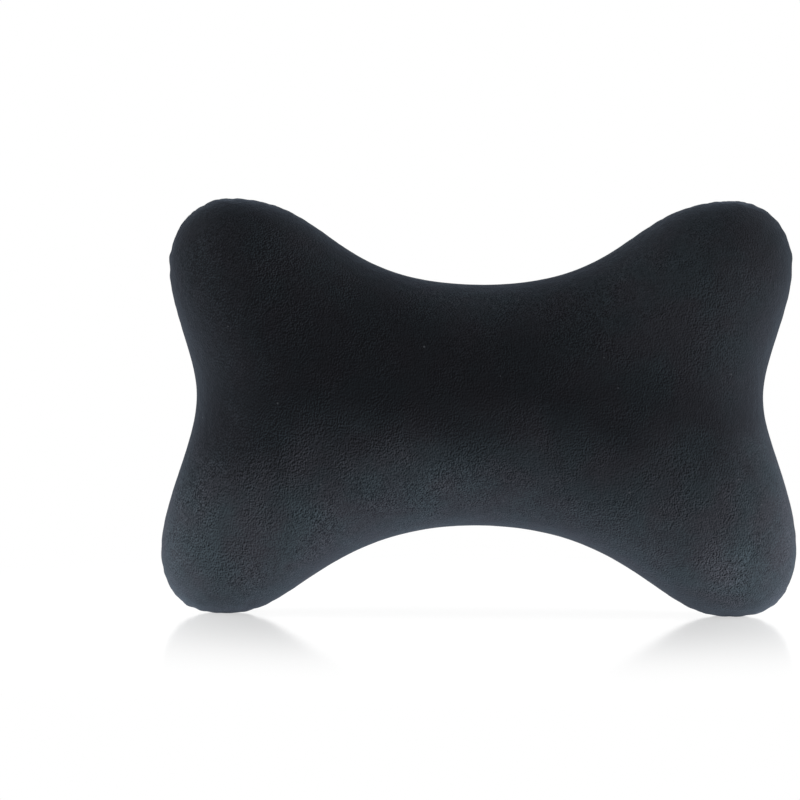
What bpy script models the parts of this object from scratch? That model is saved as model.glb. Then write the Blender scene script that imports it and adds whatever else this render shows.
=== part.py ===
# Bone-shaped car neck pillow, standing on its two lower lobes.
#
# The cushion is a sealed velour bag, stuffed tight: a front and a back panel of the same
# bone outline, sewn together all round. An elastic band for the headrest is sewn to the back.
# Metres, +Z up. The front faces -Y, the seam lies in the plane Y = 0, and the origin is
# on the floor below the middle of the cushion.

import math

import bmesh
import bpy
import numpy as np
from mathutils import Vector
from mathutils.bvhtree import BVHTree
from mathutils.geometry import interpolate_bezier

# Outline, seen from the front. It is drawn for the right half and mirrored.
# An ear is an upper lobe and a foot is a lower one. A reach is how far the outline keeps
# heading the way it passes a point before it bends, as a curve's handle does.
HOLLOW_Z = 0.1455
HOLLOW_REACH = 0.068
EAR_TOP_X = 0.111
EAR_TOP_Z = 0.1832
EAR_TOP_REACH_IN = 0.047
EAR_TOP_REACH_OUT = 0.013
EAR_SIDE_X = 0.1372
EAR_SIDE_Z = 0.154
EAR_SIDE_REACH_UP = 0.0155
EAR_SIDE_REACH_DOWN = 0.0215
WAIST_X = 0.1242
WAIST_Z = 0.0954
WAIST_REACH_UP = 0.0175
WAIST_REACH_DOWN = 0.0195
FOOT_SIDE_X = 0.140
FOOT_SIDE_Z = 0.028
FOOT_SIDE_REACH_UP = 0.0215
FOOT_SIDE_REACH_DOWN = 0.018
FOOT_LOW_X = 0.112
FOOT_LOW_REACH_OUT = 0.016
FOOT_LOW_REACH_IN = 0.033
ARCH_Z = 0.0394
ARCH_REACH = 0.067

# Filling
THICKNESS = 0.095  # front to back, at the fullest
SWELL_LENGTH = 0.030  # from the seam inwards, how soon the filling comes up to its full height
FOOT_PRESS = 0.0015  # how far the pillow's weight flattens each foot

# Seam
SEAM_DEPTH = 0.0012
SEAM_HALF_WIDTH = 0.0015

# Headrest band
BAND_WIDTH = 0.025
BAND_THICKNESS = 0.0015
BAND_INSET = 0.0242  # how far in from the waist's seam each end is stitched
BAND_SHOULDER = 0.0080  # how far beside the band the panel is drawn in
BAND_GAP = 0.0003
BAND_HALF_LENGTH = WAIST_X - BAND_INSET
BAND_BITE = BAND_THICKNESS + BAND_GAP  # so the band is level with the fullest part of the back

# Mesh: how many faces along each stretch of the outline, and inwards from the seam
RUN_FACES = 18
LOBE_FACES = 8
WAIST_FACES = 9
RING_COUNT = 6
RING_INSET_S = 0.11
RING_INSET_T = 0.24
CURVE_POINTS_PER_FACE = 8
BAND_FACES = 40
BAND_PROBES = 7

VELOUR_COLOUR = (0.020, 0.023, 0.030, 1.0)
ELASTIC_COLOUR = (0.014, 0.014, 0.015, 1.0)

RIGHT = (1.0, 0.0)
LEFT = (-1.0, 0.0)
DOWN = (0.0, -1.0)


def clear_scene():
    for old in list(bpy.data.objects):
        bpy.data.objects.remove(old, do_unlink=True)


def fabric_material(name, colour, roughness):
    material = bpy.data.materials.new(name)
    material.use_nodes = True
    shader = material.node_tree.nodes["Principled BSDF"]
    shader.inputs["Base Color"].default_value = colour
    shader.inputs["Roughness"].default_value = roughness
    shader.inputs["Metallic"].default_value = 0.0
    return material


def half_outline():
    """Points of the right half, from the hollow's middle clockwise to the arch's middle."""
    # Each knot: x, z, heading, reach back, reach on, faces up to the next knot.
    knots = (
        (0.0, HOLLOW_Z, RIGHT, HOLLOW_REACH, HOLLOW_REACH, RUN_FACES),
        (EAR_TOP_X, EAR_TOP_Z, RIGHT, EAR_TOP_REACH_IN, EAR_TOP_REACH_OUT, LOBE_FACES),
        (EAR_SIDE_X, EAR_SIDE_Z, DOWN, EAR_SIDE_REACH_UP, EAR_SIDE_REACH_DOWN, WAIST_FACES),
        (WAIST_X, WAIST_Z, DOWN, WAIST_REACH_UP, WAIST_REACH_DOWN, WAIST_FACES),
        (FOOT_SIDE_X, FOOT_SIDE_Z, DOWN, FOOT_SIDE_REACH_UP, FOOT_SIDE_REACH_DOWN, LOBE_FACES),
        (FOOT_LOW_X, -FOOT_PRESS, LEFT, FOOT_LOW_REACH_OUT, FOOT_LOW_REACH_IN, RUN_FACES),
        (0.0, ARCH_Z, LEFT, ARCH_REACH, ARCH_REACH, 0),
    )
    points = []
    for start, end in zip(knots, knots[1:]):
        here, there = Vector(start[:2]), Vector(end[:2])
        leave = here + Vector(start[2]) * start[4]
        arrive = there - Vector(end[2]) * end[3]
        steps = start[5] * CURVE_POINTS_PER_FACE
        points += interpolate_bezier(here, leave, arrive, there, steps + 1)[:-1]
    points.append(Vector(knots[-1][:2]))
    return np.array(points)


def panel_sides():
    """The outline as the four sides of a patch whose corners are the tips of the lobes:
    top and bottom from left to right, left and right from bottom to top."""
    half = half_outline()
    ear_tip = (RUN_FACES + LOBE_FACES // 2) * CURVE_POINTS_PER_FACE
    foot_tip = len(half) - 1 - ear_tip
    mirrored = half * (-1, 1)
    top = np.concatenate([mirrored[ear_tip:0:-1], half[: ear_tip + 1]])
    bottom = np.concatenate([mirrored[foot_tip:], half[foot_tip:-1][::-1]])
    right = half[ear_tip : foot_tip + 1][::-1]
    return top, bottom, right * (-1, 1), right


def along(side, share):
    """The point at this share of a side, by its own points."""
    at = np.linspace(0, 1, len(side))
    return np.array([np.interp(share, at, side[:, axis]) for axis in (0, 1)])


def patch_point(sides, s, t):
    """A point inside the outline: s runs from left to right and t from bottom to top."""
    top, bottom, left, right = sides
    across = (1 - t) * along(bottom, s) + t * along(top, s)
    upright = (1 - s) * along(left, t) + s * along(right, t)
    corners = (
        (1 - s) * (1 - t) * left[0] + s * (1 - t) * right[0]
        + (1 - s) * t * left[-1] + s * t * right[-1]
    )
    return across + upright - corners


def flat_panel():
    """One panel laid flat: rings that run in from the seam, then a grid that fills the middle.
    Returns its points, its faces and the indices of the outermost ring, anticlockwise."""
    sides = panel_sides()
    columns = 2 * (RUN_FACES + LOBE_FACES // 2)
    rows = 2 * (WAIST_FACES + LOBE_FACES // 2)
    rim = (
        [(i, 0) for i in range(columns)]
        + [(columns, j) for j in range(rows)]
        + [(i, rows) for i in range(columns, 0, -1)]
        + [(0, j) for j in range(rows, 0, -1)]
    )

    def place(i, j, inwards):
        s = 0.5 + (i / columns - 0.5) * (1 - 2 * RING_INSET_S * inwards)
        t = 0.5 + (j / rows - 0.5) * (1 - 2 * RING_INSET_T * inwards)
        return patch_point(sides, s, t)

    points = [place(i, j, 1.0) for i in range(columns + 1) for j in range(rows + 1)]
    faces = []
    for i in range(columns):
        for j in range(rows):
            corner = i * (rows + 1) + j
            faces.append((corner, corner + rows + 1, corner + rows + 2, corner + 1))
    inner = [i * (rows + 1) + j for i, j in rim]
    for ring in range(RING_COUNT - 1, -1, -1):
        # The surface rises steeply beside the seam, so the rings crowd together there.
        inwards = (ring / RING_COUNT) ** 2
        outer = list(range(len(points), len(points) + len(rim)))
        points += [place(i, j, inwards) for i, j in rim]
        for k in range(len(rim)):
            after = (k + 1) % len(rim)
            faces.append((outer[k], outer[after], inner[after], inner[k]))
        inner = outer
    return np.array(points), faces, inner


def swelling(points, faces, seam):
    """How high the filled panel stands above each flat point: 0 at the seam, 1 at the fullest.
    It is a skin that an even push holds up, against springs that stop it growing past SWELL_LENGTH in."""
    count = len(points)
    stiffness = np.zeros((count, count))
    area = np.zeros(count)
    for a, b, c, d in faces:
        for corners in ((a, b, c), (a, c, d)):
            for turn in range(3):
                i, j, k = (corners[(turn + n) % 3] for n in range(3))
                to_i, to_j = points[i] - points[k], points[j] - points[k]
                twice_area = abs(to_i[0] * to_j[1] - to_i[1] * to_j[0])
                weight = 0.5 * to_i @ to_j / twice_area
                stiffness[i, j] -= weight
                stiffness[j, i] -= weight
                stiffness[i, i] += weight
                stiffness[j, j] += weight
                area[k] += twice_area / 6
    stiffness[np.diag_indices(count)] += area / SWELL_LENGTH**2
    free = np.setdiff1d(np.arange(count), seam)
    height = np.zeros(count)
    height[free] = np.linalg.solve(stiffness[np.ix_(free, free)], area[free])
    return np.sqrt(height / height.max())


def fade(distance, start, width):
    """1 up to start, then smoothly down to 0 over width."""
    share = min(max((distance - start) / width, 0.0), 1.0)
    return 0.5 * (1 + math.cos(math.pi * share))


def band_pull(x, z):
    """How deep the band presses the back panel in at this place."""
    across = fade(abs(z - WAIST_Z), BAND_WIDTH / 2, BAND_SHOULDER)
    return BAND_BITE * across * fade(abs(x), BAND_HALF_LENGTH, BAND_SHOULDER)


def inset_ring(ring, depth):
    """The seam's ring moved straight into the outline. The ring runs anticlockwise."""
    heading = np.roll(ring, -1, axis=0) - np.roll(ring, 1, axis=0)
    heading /= np.linalg.norm(heading, axis=1)[:, None]
    return ring + depth * np.stack([-heading[:, 1], heading[:, 0]], axis=1)


def make_cushion(material):
    """Two swelled panels that meet in a sunk seam."""
    points, faces, seam = flat_panel()
    height = swelling(points, faces, seam) * THICKNESS / 2
    height[seam] = SEAM_HALF_WIDTH
    mesh = bmesh.new()
    sunk = [mesh.verts.new((x, 0.0, max(z, 0.0))) for x, z in inset_ring(points[seam], SEAM_DEPTH)]
    for side in (-1, 1):
        verts = []
        for (x, z), rise in zip(points, height):
            pulled = band_pull(x, z) if side > 0 else 0.0
            verts.append(mesh.verts.new((x, side * (rise - pulled), max(z, 0.0))))
        for face in faces:
            mesh.faces.new([verts[n] for n in face])
        for k, here in enumerate(seam):
            after = (k + 1) % len(seam)
            mesh.faces.new((sunk[k], sunk[after], verts[seam[after]], verts[here]))
    bmesh.ops.recalc_face_normals(mesh, faces=mesh.faces)
    surface = BVHTree.FromBMesh(mesh)
    cushion = finish_object("cushion", mesh, material)
    return cushion, surface


def finish_object(name, mesh, material):
    data = bpy.data.meshes.new(name)
    mesh.to_mesh(data)
    mesh.free()
    data.materials.append(material)
    data.shade_smooth()
    made = bpy.data.objects.new(name, data)
    bpy.context.scene.collection.objects.link(made)
    return made


def taut_line(places):
    """The line of a band stretched over these places (x, y): it bridges every dip."""
    line = []
    for place in places:
        while len(line) > 1 and turns_back(line[-2], line[-1], place):
            line.pop()
        line.append(place)
    return np.array(line)


def turns_back(first, middle, last):
    ahead = (middle[0] - first[0]) * (last[1] - first[1])
    aside = (middle[1] - first[1]) * (last[0] - first[0])
    return ahead >= aside


def make_band(surface, material):
    """A flat elastic band that lies taut over the back, from stitching to stitching."""
    stations = np.linspace(-BAND_HALF_LENGTH, BAND_HALF_LENGTH, BAND_FACES + 1)
    probes = np.linspace(WAIST_Z - BAND_WIDTH / 2, WAIST_Z + BAND_WIDTH / 2, BAND_PROBES)
    places = []
    for x in stations:
        hits = [surface.ray_cast(Vector((x, THICKNESS, z)), Vector((0, -1, 0)))[0].y for z in probes]
        places.append((x, max(hits) + BAND_GAP))
    line = taut_line(places)
    under = np.interp(stations, line[:, 0], line[:, 1])
    mesh = bmesh.new()
    low = [mesh.verts.new((x, y, WAIST_Z - BAND_WIDTH / 2)) for x, y in zip(stations, under)]
    edges = [mesh.edges.new(pair) for pair in zip(low, low[1:])]
    made = bmesh.ops.extrude_edge_only(mesh, edges=edges)["geom"]
    raised = [item for item in made if isinstance(item, bmesh.types.BMVert)]
    bmesh.ops.translate(mesh, verts=raised, vec=(0, 0, BAND_WIDTH))
    bmesh.ops.recalc_face_normals(mesh, faces=mesh.faces)
    middle = mesh.faces[:][BAND_FACES // 2]
    if middle.normal.y < 0:
        bmesh.ops.reverse_faces(mesh, faces=mesh.faces)
    band = finish_object("headrest_band", mesh, material)
    thick = band.modifiers.new("Thickness", "SOLIDIFY")
    thick.thickness = BAND_THICKNESS
    thick.offset = 1.0
    thick.use_even_offset = True
    return band


def main():
    clear_scene()
    velour = fabric_material("velour", VELOUR_COLOUR, 0.95)
    elastic = fabric_material("elastic", ELASTIC_COLOUR, 0.8)
    cushion, surface = make_cushion(velour)
    make_band(surface, elastic)


main()
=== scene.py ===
# %% [markdown]
# # A bone-shaped neck pillow in dark velour
#
# The real thing is a sealed bag: a front and a back panel of short-pile velour, sewn together face to face,
# turned right side out and stuffed tight. A strip of elastic is stitched across the back, to hold it on a
# headrest. The engineering model already holds its size and main form, so it is loaded first and used as a
# frame. Everything below is in metres, with +Z up, and the front panel faces -Y.

# %% Load the frame
import math

import bmesh
import bpy
import numpy as np
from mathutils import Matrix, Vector, noise
from mathutils.bvhtree import BVHTree
from mathutils.kdtree import KDTree


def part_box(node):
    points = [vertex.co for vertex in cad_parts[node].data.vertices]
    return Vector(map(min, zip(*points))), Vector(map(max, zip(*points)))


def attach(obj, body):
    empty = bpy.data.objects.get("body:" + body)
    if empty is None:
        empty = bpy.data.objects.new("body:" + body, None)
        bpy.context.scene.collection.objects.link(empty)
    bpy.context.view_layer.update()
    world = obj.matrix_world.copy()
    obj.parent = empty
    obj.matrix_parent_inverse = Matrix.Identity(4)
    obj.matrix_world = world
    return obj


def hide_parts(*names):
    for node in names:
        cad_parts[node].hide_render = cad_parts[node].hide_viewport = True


MM = 0.001
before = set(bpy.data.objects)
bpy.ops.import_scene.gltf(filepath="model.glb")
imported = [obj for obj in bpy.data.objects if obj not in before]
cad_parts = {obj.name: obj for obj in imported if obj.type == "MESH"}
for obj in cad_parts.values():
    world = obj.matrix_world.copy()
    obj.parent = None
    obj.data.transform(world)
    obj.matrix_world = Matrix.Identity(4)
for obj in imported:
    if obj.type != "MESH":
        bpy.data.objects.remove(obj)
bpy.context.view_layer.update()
low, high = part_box("cushion")
middle = (low + high) / 2
print("cushion, mm:", [round(side / MM, 1) for side in high - low])

# %% [markdown]
# ## A shorthand for shader nodes
#
# A material can be built by adding and linking nodes one by one, which takes a page for a single sum.
# Wrapping an output socket in a small class lets a line of Python read like the formula, and still makes real
# nodes. Plain numbers are worked out in Python, and only what varies over a surface becomes a node.


# %% Sockets that can be reckoned with
class Wire:
    """An output socket. Sums with it add Math nodes to its tree."""

    def __init__(self, tree, socket=None):
        self.tree = tree
        self.socket = socket

    def node(self, kind, inputs=None, output=0, **settings):
        """Adds a node: its settings first, then a value or a link for each named or numbered input."""
        made = self.tree.nodes.new(kind)
        for name, setting in settings.items():
            setattr(made, name, setting)
        for name, given in (inputs or {}).items():
            if isinstance(given, Wire):
                self.tree.links.new(given.socket, made.inputs[name])
            else:
                made.inputs[name].default_value = given
        return Wire(self.tree, made.outputs[output])

    def math(self, operation, *values):
        return self.node("ShaderNodeMath", dict(enumerate(values)), operation=operation)

    def __add__(self, other):
        return self.math("ADD", self, other)

    def __sub__(self, other):
        return self.math("SUBTRACT", self, other)

    def __rsub__(self, other):
        return self.math("SUBTRACT", other, self)

    def __mul__(self, other):
        return self.math("MULTIPLY", self, other)

    __radd__ = __add__
    __rmul__ = __mul__


# %% [markdown]
# The nodes that aren't plain sums get a short function each, named for what it does to a colour, a place on
# the surface or a mask from 0 to 1.


# %% Colours, places and masks
def blend(mask, low_colour, high_colour):
    """A colour between two, by a mask from 0 to 1. A mask above 1 goes on past the second colour."""
    inputs = {0: mask, 6: low_colour, 7: high_colour}
    return mask.node("ShaderNodeMix", inputs, output=2, data_type="RGBA", clamp_factor=False)


def shade(colour, strength):
    """A colour made darker or lighter by a varying strength, where 1 leaves it as it is."""
    return colour.node("ShaderNodeVectorMath", {0: colour, "Scale": strength}, operation="SCALE")


def vector(first, operation, other=(0, 0, 0), output="Vector"):
    """Vector Math on a colour, a place or a normal."""
    return first.node("ShaderNodeVectorMath", {0: first, 1: other}, output=output, operation=operation)


def coordinate(place, axis="Z"):
    return place.node("ShaderNodeSeparateXYZ", {"Vector": place}, output=axis)


def between(value, start, end):
    """A mask that goes smoothly from 0 at start to 1 at end."""
    inputs = {"Value": value, "From Min": start, "From Max": end}
    return value.node("ShaderNodeMapRange", inputs, interpolation_type="SMOOTHSTEP")


# %% [markdown]
# Patterns come from noise and from Voronoi cells. Both are solid: they fill space and the surface cuts
# through them, so they need no unwrapping and have no seams of their own.


# %% Patterns and relief
SPECK_CORE = 0.4


def grain(place, size, detail=2.0, distortion=0.0):
    """Noise from 0 to 1 whose blobs are about this size, in metres."""
    inputs = {"Vector": place, "Scale": 1 / size, "Detail": detail, "Distortion": distortion}
    return place.node("ShaderNodeTexNoise", inputs, output="Fac")


def specks(place, spacing, radius):
    """A mask of small round specks, 1 in their middles, strewn this far apart."""
    inputs = {"Vector": place, "Scale": 1 / spacing}
    distance = place.node("ShaderNodeTexVoronoi", inputs, output="Distance")
    return between(distance, radius / spacing, SPECK_CORE * radius / spacing)


def ripple(value, pitch, phase=0.0):
    """A wave from 0 to 1 along a value in metres."""
    return 0.5 + 0.5 * value.math("SINE", value * (2 * math.pi / pitch) + phase)


def bump(height, depth, under=None):
    """A normal that makes a height from 0 to 1 look this deep, in metres, on top of another one."""
    inputs = {"Height": height, "Distance": depth}
    if under:
        inputs["Normal"] = under
    return height.node("ShaderNodeBump", inputs)


# %% [markdown]
# ## Materials as functions
#
# Each finish has a function of its own. It gets the material's shader and the place on the object, and fills
# in what it needs. The place is in object coordinates, which here are metres, so that a thread or a tuft can
# be given its real size.


# %% Start a material
def new_material(name, finish):
    material = bpy.data.materials.new(name)
    material.use_nodes = True
    tree = material.node_tree
    shader = tree.nodes["Principled BSDF"]
    place = Wire(tree).node("ShaderNodeTexCoord", output="Object")
    finish(shader, place)
    print(name, "nodes:", len(tree.nodes))
    return material


def connect(wire, shader, name):
    wire.tree.links.new(wire.socket, shader.inputs[name])


# %% [markdown]
# ## Velour
#
# Velour is a knit with a short, dense pile. Looked at straight on, light gets lost between the fibres and
# the cloth is nearly black. Seen edge on, the fibre sides catch the light, so the edges of the pillow turn a
# lighter grey-blue. The Principled shader's sheen does exactly that.
#
# The colour is paler low on the pillow and darker higher up: painted light from below and painted shade at
# the top, a slow change of colour with height between a lit and a shaded copy of the pile's colour, broken up
# by broad strokes of noise. On top of it lie paler or darker patches at listed places, and under the top
# hollow a
# painted sheen. Each patch is a soft ball: its middle, its reach and how much paler it is.

# %% Painted light low on the pile, painted shade high up, and patches
# Painted light and shade: a shaded copy of the pile's colour high up and a lit copy low down.
PILE_PAINTED_SHADE = (0.0042, 0.0048, 0.0060, 1)
PILE_PAINTED_LIGHT = (0.0368, 0.0436, 0.0520, 1)
STROKE = 55 * MM
STROKE_SWIRL = 0.6
PAINTED_SHADE_ABOVE = 100 * MM
PAINTED_LIGHT_BELOW = 22 * MM
PAINTED_LIGHT_WANDER = 50 * MM
MARK_WANDER = 0.4

# Paler or darker patches at listed places; the first one is a painted sheen under the top hollow.
hollow_painted_sheen = (Vector((0, -15, 150)) * MM, 50 * MM, 0.35)
right_ear_mark = (Vector((85, -35, 142)) * MM, 82 * MM, 0.3)
left_ear_mark = (Vector((-79, -30, 160)) * MM, 50 * MM, 0.15)
belly_mark = (Vector((64, -45, 61)) * MM, 52 * MM, -0.22)
arch_mark = (Vector((-6, -40, 48)) * MM, 40 * MM, 0.12)
right_foot_mark = (Vector((106, -30, 15)) * MM, 28 * MM, 0.5)
right_flank_mark = (Vector((112, -30, 50)) * MM, 32 * MM, -0.17)
left_flank_mark = (Vector((-112, -28, 64)) * MM, 50 * MM, -0.2)
MIDDLE_MARKS = (hollow_painted_sheen, belly_mark, arch_mark)
LOBE_MARKS = (right_ear_mark, left_ear_mark, right_foot_mark, right_flank_mark, left_flank_mark)


def with_patches_and_painted_sheen(paleness, place, wander):
    """The paleness of the pile, with paler or darker patches and the painted sheen under the hollow added to
    it.
    """
    for mark, reach, paler in MIDDLE_MARKS + LOBE_MARKS:
        away = vector(place, "DISTANCE", mark, output="Value")
        paleness = paleness + paler * between(away + MARK_WANDER * wander, reach, 0)
    return paleness


# %% [markdown]
# The tufts are a fine noise of about a millimetre, drawn out upright. Each tuft gets painted light and shade:
# it is painted paler on the side that it turns to the light and darker on the other, so its colour comes from
# the noise less the same noise a little further on. This painted light and shade is stronger in some patches
# and weaker in others, stronger high up on the left, and weaker round the sides and on the back.

# %% Tufts
TUFT = 0.7 * MM
TUFT_SQUEEZE = (1, 1, 0.8)
TUFT_TURN = Vector((0.3, 0, -0.25)) * MM
PATCH = 16 * MM
PATCH_EDGES = (0.38, 0.62)
WEAK_SHADING_PATCH = 0.7
STRONG_SHADING_PATCH = 1.3
TUFT_SHADING_HIGH = 4.7
TUFT_SHADING_LOW = 3.3
TUFT_SHADING_LEFT = 0.6
TUFT_SHADING_SIDE = 0.4
SIDE_ENDS = 6 * MM
FRONT_STARTS = 28 * MM


def rise(share, start):
    """From start to 1 as the share goes from 0 to 1."""
    return start + (1 - start) * share


def tuft_shading_strength(place, painted_light):
    """How strong the tufts' painted light and shade is."""
    patches = between(grain(place, PATCH, detail=1), *PATCH_EDGES)
    high_up = TUFT_SHADING_HIGH * (1 - (TUFT_SHADING_LEFT / high.x) * coordinate(place, "X"))
    tuft_shading = high_up + (TUFT_SHADING_LOW - high_up) * painted_light
    tuft_shading = tuft_shading * (WEAK_SHADING_PATCH + (STRONG_SHADING_PATCH - WEAK_SHADING_PATCH) * patches)
    in_front = between(coordinate(place, "Y"), -SIDE_ENDS, -FRONT_STARTS)
    return tuft_shading * rise(in_front, TUFT_SHADING_SIDE)


def tufts_and_light(place, painted_light):
    """The height of the tufts, and their painted light and shade: how much lighter or darker their two sides
    are.
    """
    drawn_out = vector(place, "MULTIPLY", TUFT_SQUEEZE)
    tufts = grain(drawn_out, TUFT, detail=1)
    # Painted light and shade: the tuft's lit side paler, its other side darker.
    lit = tufts - grain(vector(drawn_out, "ADD", TUFT_TURN), TUFT, detail=1)
    return tufts, tuft_shading_strength(place, painted_light) * lit


# %% [markdown]
# The dye didn't take quite evenly, so the grey drifts a little between warm and cool. A few specks of lint
# are caught in the pile. The strokes, the clumps that the tufts stand in and the tufts themselves also give
# the surface a relief, and its normal leans downwards with the pile.

# %% Velour
DYE_WARM = (1.07, 0.95, 0.96, 1)
DYE_COOL = (0.93, 1.05, 1.04, 1)
DYE_PATCH = 18 * MM
DYE_EDGES = (0.3, 0.7)
CLUMP = 4.5 * MM
CLUMP_SHADE = 0.5
LINT = (0.075, 0.080, 0.090, 1)
LINT_SHOWN = 0.6
LINT_SPACING = 14 * MM
LINT_RADIUS = 0.6 * MM
STROKE_DEPTH = 1.2 * MM
CLUMP_DEPTH = 0.3 * MM
TUFT_DEPTH = 0.18 * MM
PILE_LEAN = Vector((0, 0, -0.3))
SHEEN_TINT = (0.62, 0.76, 1.0, 1)


def pile_normal(strokes, clumps, tufts):
    """The relief of the pile, leaning downwards."""
    relief = bump(strokes, STROKE_DEPTH)
    relief = bump(clumps, CLUMP_DEPTH, relief)
    relief = bump(tufts, TUFT_DEPTH, relief)
    return vector(vector(relief, "ADD", PILE_LEAN), "NORMALIZE")


def velour(shader, place):
    strokes = grain(place, STROKE, detail=2, distortion=STROKE_SWIRL)
    wander = PAINTED_LIGHT_WANDER * (strokes - 0.5)
    # Painted light: the colour turns paler low on the pillow and stays in painted shade high up.
    painted_light = between(coordinate(place) + wander, PAINTED_SHADE_ABOVE, PAINTED_LIGHT_BELOW)
    clumps = grain(place, CLUMP, detail=2)
    tufts, light = tufts_and_light(place, painted_light)
    dye = blend(between(grain(place, DYE_PATCH, detail=2), *DYE_EDGES), DYE_WARM, DYE_COOL)
    # The pile's colour, with painted light low down, painted shade high up, the painted sheen and the
    # patches.
    cloth = vector(blend(with_patches_and_painted_sheen(painted_light, place, wander), PILE_PAINTED_SHADE, PILE_PAINTED_LIGHT), "MULTIPLY", dye)
    # The tufts' painted light and shade.
    pile = shade(cloth, 1 + light + CLUMP_SHADE * (clumps - 0.5))
    lint = LINT_SHOWN * specks(place, LINT_SPACING, LINT_RADIUS)
    connect(blend(lint, pile, LINT), shader, "Base Color")
    connect(pile_normal(strokes, clumps, tufts), shader, "Normal")
    shader.inputs["Roughness"].default_value = 0.95
    shader.inputs["Specular IOR Level"].default_value = 0.1
    shader.inputs["Sheen Weight"].default_value = 0.17
    shader.inputs["Sheen Roughness"].default_value = 0.5
    shader.inputs["Sheen Tint"].default_value = SHEEN_TINT


velour_cloth = new_material("velour_cloth", velour)

# %% [markdown]
# ## The cover, from the CAD cushion
#
# The engineering model is a mesh of triangles, with each triangle's corners stored apart. Smoothing works
# best on a welded mesh of four-sided faces, so the copy is welded and its triangles are joined in pairs
# again. A voxel remesh would also give an even mesh, but it would lose the rows of faces that run along the
# seam.

# %% Copy and weld
WELD = 0.01 * MM
FLAT_ENOUGH = math.radians(170)


def quads_of(node):
    """The CAD node's mesh, welded and turned back into four-sided faces."""
    mesh = bmesh.new()
    mesh.from_mesh(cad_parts[node].data)
    bmesh.ops.remove_doubles(mesh, verts=mesh.verts, dist=WELD)
    bmesh.ops.join_triangles(
        mesh,
        faces=mesh.faces,
        angle_face_threshold=FLAT_ENOUGH,
        angle_shape_threshold=FLAT_ENOUGH,
    )
    return mesh


def add_piece(name, mesh):
    """Puts a bmesh in the scene as a smooth-shaded object."""
    data = bpy.data.meshes.new(name)
    mesh.to_mesh(data)
    mesh.free()
    if "custom_normal" in data.attributes:
        data.attributes.remove(data.attributes["custom_normal"])
    data.shade_smooth()
    piece = bpy.data.objects.new(name, data)
    bpy.context.scene.collection.objects.link(piece)
    return piece


cover = add_piece("velour_cover", quads_of("cushion"))
print("cover faces:", len(cover.data.polygons))

# %% [markdown]
# A modifier could stay on the object, but every step below works on the points that the step before it left,
# so each result is written back as plain mesh.


# %% Round the form
def evaluated(piece):
    return piece.evaluated_get(bpy.context.evaluated_depsgraph_get())


def subdivide(piece):
    """Splits each face in four and rounds the form, as a subdivision surface does."""
    smooth = piece.modifiers.new("Smooth", "SUBSURF")
    smooth.levels = smooth.render_levels = 1
    shaped = bpy.data.meshes.new_from_object(evaluated(piece))
    piece.modifiers.clear()
    piece.data = shaped


subdivide(cover)
print("cover faces after one subdivision:", len(cover.data.polygons))


# %% Read and write points
def read(data, what, count):
    flat = np.empty(3 * count, np.float32)
    data.foreach_get(what, flat)
    return flat.reshape(-1, 3).astype(float)


def points_of(piece):
    return read(piece.data.vertices, "co", len(piece.data.vertices))


def normals_of(piece):
    return read(piece.data.vertices, "normal", len(piece.data.vertices))


def set_points(piece, points):
    piece.data.vertices.foreach_set("co", points.astype(np.float32).ravel())
    piece.data.update()


print("cover points:", len(points_of(cover)))

# %% [markdown]
# ## Stuffing it
#
# A stuffed panel is cut a little larger than the form that it ends up as, and the filling pushes it out
# against its own stretch. Blender's Cloth does just that: its rest shape is the larger cut, pressure is the
# filling, and gravity stays off, because a tight filling carries the cloth. What can't move is held: the
# seam, the feet that the pillow stands on, and the strip that the elastic band presses in.

# %% What the cloth is held by
HELD_BY_SEAM = 1.0 * MM
HELD_BY_FLOOR = 1.0 * MM
HELD_BY_BAND = 3.5 * MM

band_low, band_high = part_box("headrest_band")
band_middle = (band_low + band_high) / 2
band_half_width = (band_high.z - band_low.z) / 2


def away_from_band(points):
    """How far each point lies outside the band, seen from behind. The front panel is far from it."""
    aside = np.maximum(np.abs(points[:, 0]) - band_high.x, 0)
    above = np.maximum(np.abs(points[:, 2] - band_middle.z) - band_half_width, 0)
    return np.where(points[:, 1] > 0, np.hypot(aside, above), high.x)


def held_points(points):
    by_seam = np.abs(points[:, 1]) < HELD_BY_SEAM
    by_floor = points[:, 2] < HELD_BY_FLOOR
    return by_seam | by_floor | (away_from_band(points) < HELD_BY_BAND)


print("held points:", int(held_points(points_of(cover)).sum()))

# %% [markdown]
# A little unevenness to begin with keeps the two halves from coming out as mirror images, and how far a point
# may move is capped. Noise vectors change with the clock unless they get a seed, so the lumps have one and
# the pillow comes out the same in every run.

# %% The filling pushes
CUT_LARGER = 1.04
PRESSURE = 500
STRETCH_STIFFNESS = 15
BEND_STIFFNESS = 0.05
CLOTH_MASS = 0.3
CLOTH_QUALITY = 4
LAST_FRAME = 20
LARGEST_MOVE = 4 * MM
LUMP = 3.3 * MM
UNEVENNESS = 0.2 * MM
LUMP_SEED = 3


def as_cloth(piece, held):
    """Gives the piece a cloth whose rest shape is larger than it is now."""
    points = points_of(piece)
    piece.shape_key_add(name="sewn")
    cut = piece.shape_key_add(name="cut")
    larger = (points - middle) * CUT_LARGER + middle
    cut.data.foreach_set("co", larger.astype(np.float32).ravel())
    grip = piece.vertex_groups.new(name="held")
    grip.add(np.flatnonzero(held).tolist(), 1.0, "REPLACE")
    cloth = piece.modifiers.new("Filling", "CLOTH")
    settings = cloth.settings
    settings.quality = CLOTH_QUALITY
    settings.mass = CLOTH_MASS
    settings.tension_stiffness = STRETCH_STIFFNESS
    settings.compression_stiffness = STRETCH_STIFFNESS
    settings.shear_stiffness = STRETCH_STIFFNESS
    settings.bending_stiffness = BEND_STIFFNESS
    settings.use_pressure = True
    settings.uniform_pressure_force = PRESSURE
    settings.vertex_group_mass = grip.name
    settings.rest_shape_key = cut
    settings.effector_weights.gravity = 0
    cloth.collision_settings.use_collision = False
    cloth.point_cache.frame_start = 1
    cloth.point_cache.frame_end = LAST_FRAME


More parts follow.
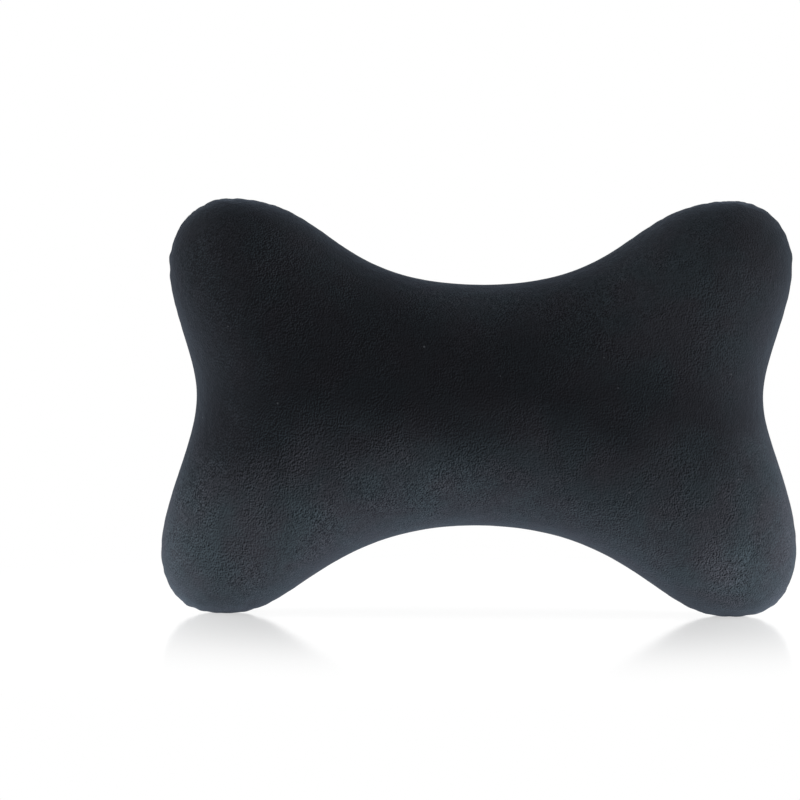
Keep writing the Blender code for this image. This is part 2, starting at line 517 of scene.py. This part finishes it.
def stuff(piece):
    """Lets the filling push the cover out, and keeps the result as plain mesh."""
    start = points_of(piece)
    held = held_points(start)
    noise.seed_set(LUMP_SEED)
    lumps = np.array([noise.noise_vector(Vector(point) / LUMP) for point in start])
    start += UNEVENNESS * lumps * ~held[:, None]
    set_points(piece, start)
    as_cloth(piece, held)
    for step in range(1, LAST_FRAME + 1):
        bpy.context.scene.frame_set(step)
    moved = read(evaluated(piece).data.vertices, "co", len(start)) - start
    length = np.linalg.norm(moved, axis=1)
    piece.modifiers.clear()
    piece.shape_key_clear()
    piece.vertex_groups.clear()
    bpy.context.scene.frame_set(1)
    kept = np.minimum(1, LARGEST_MOVE / np.maximum(length, WELD))
    set_points(piece, start + moved * kept[:, None])
    print("moved, mm: median", round(np.median(length) / MM, 2), "most", round(length.max() / MM, 2))


stuff(cover)

# %% [markdown]
# The feet come out of this with a hard rim round the flat spot. Averaging the heights there rounds it off.

# %% Round the rims of the feet
FOOT_HEIGHT = 3.5 * MM
FOOT_STEPS = 8


def round_feet(piece):
    mesh = bmesh.new()
    mesh.from_mesh(piece.data)
    lowest = [vert for vert in mesh.verts if vert.co.z < FOOT_HEIGHT]
    for step in range(FOOT_STEPS):
        bmesh.ops.smooth_vert(mesh, verts=lowest, factor=0.5, use_axis_z=True)
    mesh.to_mesh(piece.data)
    mesh.free()


round_feet(cover)
subdivide(cover)
print("lowest points, mm:", np.sort(points_of(cover)[:, 2])[:3] / MM, "faces:", len(cover.data.polygons))

# %% [markdown]
# No stuffed bag is quite even. The right side of this one is a little fuller than the left, at the flank
# above its foot and at the top of its ear, so the cover is pushed outwards there by a millimetre or two. Each
# fuller spot is a place, a reach and how far it is pushed.

# %% Fuller on the right
fuller_flank = (Vector((131, 0, 60)) * MM, 28 * MM, 1.9 * MM)
fuller_ear = (Vector((125, 0, 170)) * MM, 22 * MM, 1.2 * MM)


def unit(vectors):
    return vectors / np.linalg.norm(vectors, axis=-1, keepdims=True)


def fill_out(piece, place, reach, further):
    """Pushes the cover away from its middle, near one place."""
    points = points_of(piece)
    near = np.exp(-((np.linalg.norm(points - place, axis=1) / reach) ** 2))
    points += further * near[:, None] * unit((points - middle) * (1, 0, 1))
    set_points(piece, points)


for fuller in (fuller_flank, fuller_ear):
    fill_out(cover, *fuller)
reached = points_of(cover)[:, 0]
print("reaches from x, mm:", round(reached.min() / MM, 2), "to", round(reached.max() / MM, 2))

# %% [markdown]
# ## The seam
#
# Where the panels meet, the thread pulls the cloth into a narrow valley, and each stitch pinches both panels
# into a tiny pucker. On the lobes the panel's edge is longer than the seam it is sewn into, so the spare
# cloth gathers in small folds that run away from the seam. All of this is too fine for the simulation's mesh.
# A mesh that is fine everywhere would be heavy, so only the faces next to the seam are split once more.

# %% Finer faces next to the seam
ON_SEAM = 0.1 * MM
FINE_REACH = 7 * MM


def seam_ring(points):
    """The seam's points, in order round the pillow."""
    ring = points[np.abs(points[:, 1]) < ON_SEAM]
    angle = np.arctan2(ring[:, 2] - middle.z, ring[:, 0])
    return ring[np.argsort(angle)]


def nearest_on(ring, points):
    """For each point, the number of the nearest point of the seam."""
    tree = KDTree(len(ring))
    for index, place in enumerate(ring):
        tree.insert(place, index)
    tree.balance()
    return np.array([tree.find(point)[1] for point in points])


def split_near_seam(piece):
    points = points_of(piece)
    ring = seam_ring(points)
    far = np.linalg.norm(points - ring[nearest_on(ring, points)], axis=1)
    mesh = bmesh.new()
    mesh.from_mesh(piece.data)
    edges = [edge for edge in mesh.edges if max(far[vert.index] for vert in edge.verts) < FINE_REACH]
    bmesh.ops.subdivide_edges(mesh, edges=edges, cuts=1, use_grid_fill=True)
    mesh.to_mesh(piece.data)
    mesh.free()


split_near_seam(cover)
print("cover faces with the finer ones:", len(cover.data.polygons))

# %% [markdown]
# The puckers and folds could be sculpted by hand, but a rule is easier to change: walk along the seam, set a
# fold every few millimetres, and make it deeper the tighter the outline bends there. The bend is how much the
# heading turns over a few points of the seam, for each metre. The tightest one that counts is that of a
# circle with a radius of 36 mm.

# %% Walk along the seam
BEND_REACH = 12
TIGHT_BEND = 28


def turned_by(values, steps):
    return np.roll(values, -steps, axis=0)


ring = seam_ring(points_of(cover))
ring_steps = np.linalg.norm(turned_by(ring, 1) - ring, axis=1)
ring_place = np.cumsum(ring_steps) - ring_steps
around = ring_steps.sum()
heading = unit(turned_by(ring, 1) - turned_by(ring, -1))
behind = turned_by(heading, -BEND_REACH)
ahead = turned_by(heading, BEND_REACH)
turn = behind[:, 0] * ahead[:, 2] - behind[:, 2] * ahead[:, 0]
bend = turn / (2 * BEND_REACH * ring_steps.mean())
spare = np.clip(bend / TIGHT_BEND, 0, 1)
print("seam, mm:", round(around / MM), "points:", len(ring))
print("tightest bend, mm:", round(1 / bend.max() / MM, 1))


# %% Where each point is, seen from the seam
def seen_from_seam(points):
    """How far along the seam and how far from it each point lies."""
    nearest = nearest_on(ring, points)
    offset = points - ring[nearest]
    forward = (offset * heading[nearest]).sum(axis=1)
    far = np.sqrt(np.maximum((offset**2).sum(axis=1) - forward**2, 0))
    return (ring_place[nearest] + forward) % around, far


points = points_of(cover)
normals = normals_of(cover)
along, far = seen_from_seam(points)
print("furthest from the seam, mm:", round(far.max() / MM, 1))

# %% [markdown]
# One fold is a valley with a raised shoulder on each side, because cloth that is pressed in has to go
# somewhere. It starts at the seam and fades out. No two folds are alike, so each one's depth, width, length,
# slant and distance to the next are drawn by chance, from a seed that keeps them the same in every run.

# %% Folds along the seam
SHOULDER = 3.0 * MM
SHALLOW_START = 0.4
STRAIGHT_DEPTH = 0.2
STRAIGHT_LENGTH = 0.5
FOLD_DEPTHS = (0.5, 1.3)
FOLD_WIDTHS = (0.22, 0.34)
FOLD_LENGTHS = (0.7, 1.3)
FOLD_SLANTS = (-0.4, 0.4)
FOLD_STEPS = (0.6, 1.4)


def fold(across, out, width, length):
    """A valley with raised shoulders, 1 deep, that starts near its foot and fades out over its length."""
    share = across / width
    valley = (1 - share**2) * np.exp(-(share**2) / 2)
    rising = rise(np.clip(out / SHOULDER, 0, 1), SHALLOW_START)
    return valley * rising * np.clip(1 - out / length, 0, 1) ** 2 * (out >= 0)


def folds_along(seed, spacing, depth, reach):
    """How deep a row of folds along the seam presses in at each point."""
    chance = np.random.default_rng(seed)
    pressed = np.zeros(len(along))
    place = 0.0
    while place < around:
        spare_here = np.interp(place, ring_place, spare)
        deep = depth * rise(spare_here, STRAIGHT_DEPTH) * chance.uniform(*FOLD_DEPTHS)
        width = spacing * chance.uniform(*FOLD_WIDTHS)
        length = reach * rise(spare_here, STRAIGHT_LENGTH) * chance.uniform(*FOLD_LENGTHS)
        slant = chance.uniform(*FOLD_SLANTS)
        across = (along - place - slant * far + around / 2) % around - around / 2
        pressed += deep * fold(across, far, width, length)
        place += spacing * chance.uniform(*FOLD_STEPS)
    return pressed


# %% [markdown]
# The gathers of the two panels are drawn apart, because each panel has its own spare cloth. A pucker belongs
# to a stitch, so it goes through both.

# %% Valley, puckers and gathers
VALLEY_DEPTH = 0.7 * MM
VALLEY_WIDTH = 0.8 * MM
PUCKER_SPACING = 3.2 * MM
PUCKER_DEPTH = 0.2 * MM
PUCKER_REACH = 5 * MM
GATHER_SPACING = 6.8 * MM
GATHER_DEPTH = 0.36 * MM
GATHER_REACH = 14 * MM
FRONT_SEED = 11
BACK_SEED = 12
PUCKER_SEED = 13

front_gathers = folds_along(FRONT_SEED, GATHER_SPACING, GATHER_DEPTH, GATHER_REACH)
back_gathers = folds_along(BACK_SEED, GATHER_SPACING, GATHER_DEPTH, GATHER_REACH)
pressed = VALLEY_DEPTH * np.exp(-((far / VALLEY_WIDTH) ** 2))
pressed += np.where(points[:, 1] < 0, front_gathers, back_gathers)
pressed += folds_along(PUCKER_SEED, PUCKER_SPACING, PUCKER_DEPTH, PUCKER_REACH)
print("deepest at the seam, mm:", round(pressed.max() / MM, 2))

# %% [markdown]
# The band pulls at the back panel where it is sewn on, and the cloth round each end answers with a fan of
# small folds. They are made of the same fold as the gathers.

# %% Tucks where the band pulls
TUCKS_PER_END = 6
TUCK_FAN = math.radians(75)
TUCK_TURNS = (-0.15, 0.15)
TUCK_WIDTH = 1.9 * MM
TUCK_LENGTHS_MM = (10, 17)
TUCK_DEPTHS_MM = (0.25, 0.5)
TUCK_CLEAR_END = 1.5 * MM
TUCK_CLEAR_EDGE = 1.0 * MM
TUCK_SEED = 5


def tucks(points):
    """How deep the small folds that fan out from the band's stitched ends press in."""
    chance = np.random.default_rng(TUCK_SEED)
    depth = np.zeros(len(points))
    for side in (-1, 1):
        for share in np.linspace(-1, 1, TUCKS_PER_END):
            angle = share * TUCK_FAN + chance.uniform(*TUCK_TURNS)
            start_x = side * (band_high.x + TUCK_CLEAR_END)
            start_z = band_middle.z + share * (band_half_width + TUCK_CLEAR_EDGE)
            x, z = (points[:, 0] - start_x) * side, points[:, 2] - start_z
            out = x * math.cos(angle) + z * math.sin(angle)
            across = z * math.cos(angle) - x * math.sin(angle)
            length = chance.uniform(*TUCK_LENGTHS_MM) * MM
            depth += chance.uniform(*TUCK_DEPTHS_MM) * MM * fold(across, out, TUCK_WIDTH, length)
    return depth * (points[:, 1] > 0)


pressed += tucks(points)
print("deepest fold, mm:", round(pressed.max() / MM, 2))

# %% [markdown]
# All of it is pressed in along the cover's normals, with a slow waviness where the cloth is free. Then the
# feet are flattened on the floor. The folds, the rounding and the floor each take a hair off the cover, so a
# slight stretch at the end gives it the length and the height of the model again.

# %% Press it all into the cover
WAVE_LENGTH = 42 * MM
WAVE_HEIGHT = 0.6 * MM
WAVE_FADE = 25 * MM
PRESSED_ON_FLOOR = 0.3 * MM


def stretched(places, lowest, highest):
    """The same places, spread so that they reach from the lowest to the highest."""
    return np.interp(places, (places.min(), places.max()), (lowest, highest))


waves = np.array([noise.noise(Vector(point) / WAVE_LENGTH) for point in points])
free = np.clip(far / WAVE_FADE, 0, 1) * np.clip(away_from_band(points) / WAVE_FADE, 0, 1)
points -= (pressed + WAVE_HEIGHT * waves * free)[:, None] * normals
points[:, 2] = np.maximum(points[:, 2] - PRESSED_ON_FLOOR, 0)
points[:, 0] = stretched(points[:, 0], low.x, high.x)
points[:, 2] = stretched(points[:, 2], low.z, high.z)
set_points(cover, points)
standing = points[points[:, 2] == 0][:, 0]
print("points on the floor, left and right:", int((standing < 0).sum()), int((standing > 0).sum()))

# %% Hand the cover over
cover.data.materials.clear()
cover.data.materials.append(velour_cloth)
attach(cover, "root")
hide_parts("cushion")

# %% [markdown]
# ## The headrest band
#
# The band is a knitted elastic: rubber cords side by side, wrapped in a dull yarn, so it has fine ribs along
# its length. It could be a curve with a flat bevel, but then it would stand off the round back or cut through
# it. Here a net of rays finds the back, and each cord is pulled taut over what it meets, so that it bridges
# the dips. The net is then given a thickness, with a bead for every cord.

# %% Where the taut cords lie
BAND_HALF_LENGTH = 100 * MM
BAND_GAP = 0.3 * MM
NET_STEP = 0.8 * MM
CORDS = 12
COLUMNS_PER_CORD = 7
SOFTEN_STEPS = 7

net_x = np.linspace(-BAND_HALF_LENGTH, BAND_HALF_LENGTH, round(2 * BAND_HALF_LENGTH / NET_STEP) + 1)
net_z = np.linspace(band_low.z, band_high.z, CORDS * COLUMNS_PER_CORD + 1)


def below(first, second, third):
    """Whether the second point lies below the line from the first to the third."""
    run, climb = second[0] - first[0], second[1] - first[1]
    return climb * (third[0] - first[0]) <= run * (third[1] - first[1])


def taut(places):
    """The heights of a line stretched over these heights, one for each place along the band."""
    kept = []
    for here in zip(net_x, places):
        while len(kept) > 1 and below(kept[-2], kept[-1], here):
            kept.pop()
        kept.append(here)
    return np.interp(net_x, *zip(*kept))


def soften(values, axis):
    """A moving average along one axis that leaves the two ends where they are."""
    reach = SOFTEN_STEPS // 2
    padding = [(0, 0), (0, 0)]
    padding[axis] = (reach, reach)
    padded = np.pad(values, padding, mode="reflect", reflect_type="odd")
    window = np.ones(SOFTEN_STEPS) / SOFTEN_STEPS
    return np.apply_along_axis(np.convolve, axis, padded, window, mode="valid")


back = BVHTree.FromObject(cover, bpy.context.evaluated_depsgraph_get())


def back_at(x, z):
    """Where a ray from behind meets the back panel."""
    return back.ray_cast(Vector((x, high.y * 2, z)), Vector((0, -1, 0)))[0].y


hits = np.array([[back_at(x, z) for z in net_z] for x in net_x])
under = soften(soften(np.apply_along_axis(taut, 0, hits), 0), 1) + BAND_GAP
print("band lies between y, mm:", round(under.min() / MM, 1), round(under.max() / MM, 1))

# %% [markdown]
# The ends are sewn down with the usual box and cross. The thread sinks into the elastic, so the stitching's
# path is known before the band gets its thickness, and the band is thinner along it.

# %% The stitching's path
BOX_NEAR = 80 * MM
BOX_FAR = 97 * MM
BOX_HALF_HEIGHT = 9.5 * MM


def box_and_cross(side):
    """The sewn lines of one end, as pairs of (x, z) places."""
    near, far_end = side * BOX_NEAR, side * BOX_FAR
    top, bottom = band_middle.z + BOX_HALF_HEIGHT, band_middle.z - BOX_HALF_HEIGHT
    corners = [(near, bottom), (far_end, bottom), (far_end, top), (near, top)]
    sides = list(zip(corners, corners[1:] + corners[:1]))
    return sides + [(corners[0], corners[2]), (corners[1], corners[3])]


def distance_to(line, x, z):
    """How far places are from a sewn line."""
    start, end = np.array(line[0]), np.array(line[1])
    run = end - start
    share = np.clip(((x - start[0]) * run[0] + (z - start[1]) * run[1]) / (run @ run), 0, 1)
    return np.hypot(x - start[0] - share * run[0], z - start[1] - share * run[1])


sewn_lines = [line for side in (-1, 1) for line in box_and_cross(side)]
print("sewn lines:", len(sewn_lines))

# %% [markdown]
# The outer face is the net moved outwards along its own normals, by a thickness that rises over each cord and
# falls at the rim and along the thread.

# %% Give the band its thickness
BAND_THICKNESS = 1.5 * MM
CORD_RELIEF = 0.35 * MM
EDGE_ROUNDING = 0.7 * MM
EDGE_THICKNESS = 0.45
THREAD_SINK = 0.35 * MM
THREAD_REACH = 0.6 * MM

grid_x, grid_z = np.meshgrid(net_x, net_z, indexing="ij")
inner = np.stack([grid_x, under, grid_z], axis=-1)
slope_x, slope_z = np.gradient(under, net_x, net_z)
outward = unit(np.stack([-slope_x, np.ones_like(under), -slope_z], axis=-1))

cord_phase = math.pi * CORDS * (grid_z - band_low.z) / (band_high.z - band_low.z)
thickness = BAND_THICKNESS - CORD_RELIEF * (1 - np.sqrt(np.abs(np.sin(cord_phase))))
to_edge = np.minimum(grid_z - band_low.z, band_high.z - grid_z)
to_end = BAND_HALF_LENGTH - np.abs(grid_x)
edge = np.clip(np.minimum(to_edge, to_end) / EDGE_ROUNDING, 0, 1)
thickness *= rise(np.sqrt(1 - (1 - edge) ** 2), EDGE_THICKNESS)
for line in sewn_lines:
    thickness -= THREAD_SINK * np.exp(-((distance_to(line, grid_x, grid_z) / THREAD_REACH) ** 2))
outer = inner + thickness[..., None] * outward
print("band's thickness, mm:", round(thickness.min() / MM, 2), "to", round(thickness.max() / MM, 2))


# %% Make the band
def shell(name, inside, outside):
    """A closed sheet between two nets of points."""
    rows, columns = inside.shape[:2]
    mesh = bmesh.new()
    nets = [[[mesh.verts.new(point) for point in row] for row in net] for net in (inside, outside)]
    for net in nets:
        for i in range(rows - 1):
            for j in range(columns - 1):
                mesh.faces.new((net[i][j], net[i + 1][j], net[i + 1][j + 1], net[i][j + 1]))
    rim = [(i, 0) for i in range(rows)]
    rim += [(rows - 1, j) for j in range(1, columns)]
    rim += [(i, columns - 1) for i in range(rows - 2, -1, -1)]
    rim += [(0, j) for j in range(columns - 2, 0, -1)]
    for here, there in zip(rim, rim[1:] + rim[:1]):
        corners = [nets[side][i][j] for side, (i, j) in ((0, here), (0, there), (1, there), (1, here))]
        mesh.faces.new(corners)
    bmesh.ops.recalc_face_normals(mesh, faces=mesh.faces)
    return add_piece(name, mesh)


band = shell("elastic_band", inner, outer)
print("band faces:", len(band.data.polygons))

# %% [markdown]
# Elastic looks dull and ribbed. The cords are in the mesh already. What is left for the material is the yarn
# that wraps them, a fine zigzag across each cord, and a painted shade that darkens the groove between two
# cords.

# %% Elastic
YARN_DARK = (0.006, 0.006, 0.0065, 1)
YARN_LIGHT = (0.024, 0.024, 0.026, 1)
YARN_ROUGHNESS = 0.72
WRAP_PITCH = 0.9 * MM
WRAP_BEND = 0.3 * MM
WRAP_DEPTH = 0.12 * MM
FUZZ = 0.35 * MM
FUZZ_DEPTH = 0.06 * MM
FUZZ_DULLS = 0.2
CREST_SHARE = 0.45
WRAP_SHARE = 0.35
FUZZ_SHARE = 0.2


def elastic(shader, place):
    across = coordinate(place) - band_low.z
    cord_width = (band_high.z - band_low.z) / CORDS
    crest = ripple(across, cord_width, -math.pi / 2)
    zigzag = ripple(coordinate(place, "X") + WRAP_BEND * crest, WRAP_PITCH)
    fuzz = grain(place, FUZZ, detail=3)
    # The crest mask leaves the cords' crests paler and paints the grooves between cords darker: painted
    # shade.
    mask = CREST_SHARE * crest + WRAP_SHARE * zigzag + FUZZ_SHARE * fuzz
    connect(blend(mask, YARN_DARK, YARN_LIGHT), shader, "Base Color")
    connect(bump(fuzz, FUZZ_DEPTH, bump(zigzag, WRAP_DEPTH)), shader, "Normal")
    connect(YARN_ROUGHNESS + FUZZ_DULLS * fuzz, shader, "Roughness")
    shader.inputs["Specular IOR Level"].default_value = 0.3
    shader.inputs["Sheen Weight"].default_value = 0.1
    shader.inputs["Sheen Roughness"].default_value = 0.5


band.data.materials.append(new_material("ribbed_elastic", elastic))
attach(band, "root")
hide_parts("headrest_band")

# %% [markdown]
# ## Stitches
#
# Each stitch is a short piece of thread that comes up out of the elastic, lies on it and dives in again. One
# stitch is a small tube bent over a hump, and the same function lays them end to end along every sewn line.

# %% Stitches
STITCH_LENGTH = 3.0 * MM
STITCH_SHARE = 0.9
STITCH_RISE = 0.3 * MM
STITCH_DIP = 0.16 * MM
STITCH_FULLNESS = 0.6
THREAD_RADIUS = 0.24 * MM
THREAD_TAPER = 0.55
TUBE_RINGS = 9
TUBE_SIDES = 8


def on_band(x, z):
    """The point on the band's outer face at this place, and the way out of the band there."""
    i = np.interp(x, net_x, np.arange(len(net_x)))
    j = np.interp(z, net_z, np.arange(len(net_z)))
    row, column = min(int(i), len(net_x) - 2), min(int(j), len(net_z) - 2)
    corners = outer[row : row + 2, column : column + 2]
    share_i, share_j = i - row, j - column
    weights = np.outer([1 - share_i, share_i], [1 - share_j, share_j])[..., None]
    return (corners * weights).sum(axis=(0, 1)), outward[row, column]


def add_stitch(mesh, start, end):
    """Adds one stitch between two (x, z) places."""
    shares = np.linspace(0, 1, TUBE_RINGS)
    places = [on_band(*(start + share * (end - start))) for share in shares]
    hump = STITCH_RISE * np.sin(math.pi * shares) ** STITCH_FULLNESS - STITCH_DIP
    centres = [Vector(point + lift * out) for (point, out), lift in zip(places, hump)]
    forward = (centres[-1] - centres[0]).normalized()
    up = Vector(places[TUBE_RINGS // 2][1])
    aside = forward.cross(up).normalized()
    tube = []
    for share, centre in zip(shares, centres):
        radius = float(THREAD_RADIUS * (1 - THREAD_TAPER * abs(2 * share - 1) ** 3))
        turns = [2 * math.pi * k / TUBE_SIDES for k in range(TUBE_SIDES)]
        around_it = [radius * (math.cos(turn) * aside + math.sin(turn) * up) for turn in turns]
        tube.append([mesh.verts.new(centre + out) for out in around_it])
    for here, there in zip(tube, tube[1:]):
        for k in range(TUBE_SIDES):
            after = (k + 1) % TUBE_SIDES
            mesh.faces.new((here[k], here[after], there[after], there[k]))
    mesh.faces.new(tube[0][::-1])
    mesh.faces.new(tube[-1])


def sew(mesh, line):
    """Adds a row of stitches along one sewn line."""
    start, end = np.array(line[0]), np.array(line[1])
    count = round(np.linalg.norm(end - start) / STITCH_LENGTH)
    for k in range(count):
        first = (k + 0.5 - STITCH_SHARE / 2) / count
        last = (k + 0.5 + STITCH_SHARE / 2) / count
        add_stitch(mesh, start + first * (end - start), start + last * (end - start))


stitches = bmesh.new()
for line in sewn_lines:
    sew(stitches, line)
bmesh.ops.recalc_face_normals(stitches, faces=stitches.faces)
stitching = add_piece("band_stitching", stitches)
print("stitching faces:", len(stitching.data.polygons))

# %% [markdown]
# The thread is a twisted one and a shade paler than the elastic. Its twist is a wave on the slant, which is
# enough at this size, because a stitch is only half a millimetre thick. The wave also paints the plies'
# crests paler and the grooves between them darker, a painted light and shade.

# %% Thread
THREAD_DARK = (0.016, 0.016, 0.018, 1)
THREAD_LIGHT = (0.062, 0.064, 0.070, 1)
PLY_PITCH = 0.5 * MM
PLY_DEPTH = 0.08 * MM
FIBRE = 0.2 * MM
TWIST_SHARE = 0.6
FIBRE_SHARE = 0.4


def thread(shader, place):
    twist = ripple(coordinate(place, "X") + coordinate(place), PLY_PITCH)
    fibres = grain(place, FIBRE, detail=2)
    # The twist's wave paints the plies' crests paler and the grooves between them darker: painted light and
    # shade.
    mask = TWIST_SHARE * twist + FIBRE_SHARE * fibres
    connect(blend(mask, THREAD_DARK, THREAD_LIGHT), shader, "Base Color")
    connect(bump(twist, PLY_DEPTH), shader, "Normal")
    shader.inputs["Roughness"].default_value = 0.5
    shader.inputs["Specular IOR Level"].default_value = 0.4


stitching.data.materials.append(new_material("sewing_thread", thread))
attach(stitching, "root")

# %% [markdown]
# ## The camera
#
# The photograph looks straight at the front, so the camera is level with the pillow's middle. A long lens
# keeps the lobes as parallel as they look there. How far away it stands follows from how wide the pillow is
# in the picture, and a slight roll puts the right foot a little lower than the left one. The first four
# values are in the photograph's pixels.

# %% Place the camera
PICTURE_SIDE = 800
PILLOW_ACROSS = 634.5
PILLOW_MIDDLE_ACROSS = 480
FLOOR_LINE_DOWN = 614
LENS = 135
SENSOR = 36
LOOK_DOWN = math.radians(1.0)
ROLL = math.radians(-0.4)

metres_per_pixel = (high.x - low.x) / PILLOW_ACROSS
picture_middle = PICTURE_SIDE / 2
target = Vector((
    (picture_middle - PILLOW_MIDDLE_ACROSS) * metres_per_pixel,
    0,
    (FLOOR_LINE_DOWN - picture_middle) * metres_per_pixel,
))
distance = PICTURE_SIDE * metres_per_pixel * LENS / SENSOR

camera_data = bpy.data.cameras.new("camera")
camera_data.lens = LENS
camera_data.sensor_width = SENSOR
camera = bpy.data.objects.new("camera", camera_data)
bpy.context.scene.collection.objects.link(camera)
camera.location = target + distance * Vector((0, -math.cos(LOOK_DOWN), math.sin(LOOK_DOWN)))
camera.rotation_euler = (math.radians(90) - LOOK_DOWN, ROLL, 0)
bpy.context.scene.camera = camera
print("camera stands", round(distance, 3), "m away")

# %% [markdown]
# ## Light, floor and background
#
# The pillow stands in a white studio. The white behind it comes from the world, which looks white to the
# camera but lights the pillow at a plain level.

# %% World
WORLD_LIGHT = 0.22
WHITE = (1, 1, 1, 1)


def light_seen(tree):
    """1 where the camera looks, straight or by way of a mirror or glass, and 0 for light on things."""
    camera_ray, glossy_ray, glass_ray = [
        Wire(tree).node("ShaderNodeLightPath", output=name)
        for name in ("Is Camera Ray", "Is Glossy Ray", "Is Transmission Ray")
    ]
    return camera_ray.math("MAXIMUM", camera_ray.math("MAXIMUM", camera_ray, glossy_ray), glass_ray)


def fill_world(tree):
    tree.nodes.clear()
    seen = light_seen(tree)
    room = seen.node("ShaderNodeBackground", {"Color": WHITE, "Strength": WORLD_LIGHT})
    white = seen.node("ShaderNodeBackground", {"Color": WHITE, "Strength": 1.0})
    both = seen.node("ShaderNodeMixShader", {0: seen, 1: room, 2: white})
    surface = tree.nodes.new("ShaderNodeOutputWorld").inputs["Surface"]
    tree.links.new(both.socket, surface)


world = bpy.data.worlds.new("studio")
world.use_nodes = True
fill_world(world.node_tree)
bpy.context.scene.world = world
print("world nodes:", len(world.node_tree.nodes))

# %% [markdown]
# Broad lamps at both sides light the edges, and a low one in front lights the lower half, so the top of the
# front stays darkest. The right lamp is a little stronger, because the photograph's right edge is paler.

# %% Lamps
SIDE_LAMP_AWAY = 1.3
SIDE_LAMP_FORWARD = 0.1
SIDE_LAMP_UP = 0.2
SIDE_LAMP_SIZE = 0.8
LEFT_POWER = 19
RIGHT_POWER = 20
LOW_LAMP_PLACE = (0.1, -0.9, 0.08)
LOW_LAMP_WIDTH = 1.4
LOW_LAMP_HEIGHT = 0.12
LOW_POWER = 3


def lamp(name, place, width, height, power):
    """A rectangular lamp that looks at the pillow's middle."""
    data = bpy.data.lights.new(name, "AREA")
    data.shape = "RECTANGLE"
    data.size = width
    data.size_y = height
    data.energy = power
    made = bpy.data.objects.new(name, data)
    bpy.context.scene.collection.objects.link(made)
    made.location = place
    made.rotation_euler = (middle - Vector(place)).to_track_quat("-Z", "Y").to_euler()


for name, side, power in (("left_lamp", -1, LEFT_POWER), ("right_lamp", 1, RIGHT_POWER)):
    place = (side * SIDE_LAMP_AWAY, -SIDE_LAMP_FORWARD, SIDE_LAMP_UP)
    lamp(name, place, SIDE_LAMP_SIZE, SIDE_LAMP_SIZE, power)
lamp("low_lamp", LOW_LAMP_PLACE, LOW_LAMP_WIDTH, LOW_LAMP_HEIGHT, LOW_POWER)
print("lamps:", [light.name for light in bpy.data.lights])

# %% [markdown]
# The floor is a glossy white sheet. Close to the pillow it shows a soft shadow and a faint mirror image, and
# both fade out with the distance until the floor is as white as what lies behind it, so no horizon shows.

# %% Floor
FLOOR_SIDE = 8
PAPER = (0.86, 0.86, 0.86, 1)
GLOW = 1.5
GLOW_SEEN = 0.6
GLOW_GIVEN = 0.05
MIRROR_SHARE = 0.42
MIRROR_BLUR = 0.11
FADE_FROM = 0.06
FADE_TO = 0.36


def floor_finish(tree):
    seen = light_seen(tree)
    place = seen.node("ShaderNodeTexCoord", output="Object")
    near = between(vector(place, "LENGTH", output="Value"), FADE_TO, FADE_FROM)
    glowing = GLOW_SEEN * seen + GLOW_GIVEN * (1 - seen)
    paper = seen.node("ShaderNodeBsdfDiffuse", {"Color": PAPER})
    glow = seen.node("ShaderNodeEmission", {"Color": WHITE, "Strength": GLOW})
    white = seen.node("ShaderNodeEmission", {"Color": WHITE, "Strength": 1.0})
    mirror = seen.node("ShaderNodeBsdfGlossy", {"Color": WHITE, "Roughness": MIRROR_BLUR})
    lifted = seen.node("ShaderNodeMixShader", {0: glowing, 1: paper, 2: glow})
    shiny = seen.node("ShaderNodeMixShader", {0: MIRROR_SHARE * near, 1: lifted, 2: mirror})
    hidden = seen.node("ShaderNodeMixShader", {0: seen * (1 - near), 1: shiny, 2: white})
    tree.links.new(hidden.socket, tree.nodes["Material Output"].inputs["Surface"])


sheet = bmesh.new()
bmesh.ops.create_grid(sheet, x_segments=1, y_segments=1, size=FLOOR_SIDE / 2)
floor = add_piece("floor", sheet)
floor_paper = bpy.data.materials.new("floor_paper")
floor_paper.use_nodes = True
floor_finish(floor_paper.node_tree)
floor.data.materials.append(floor_paper)
print("floor nodes:", len(floor_paper.node_tree.nodes))

# %% Picture settings
bpy.context.scene.view_settings.view_transform = "Standard"
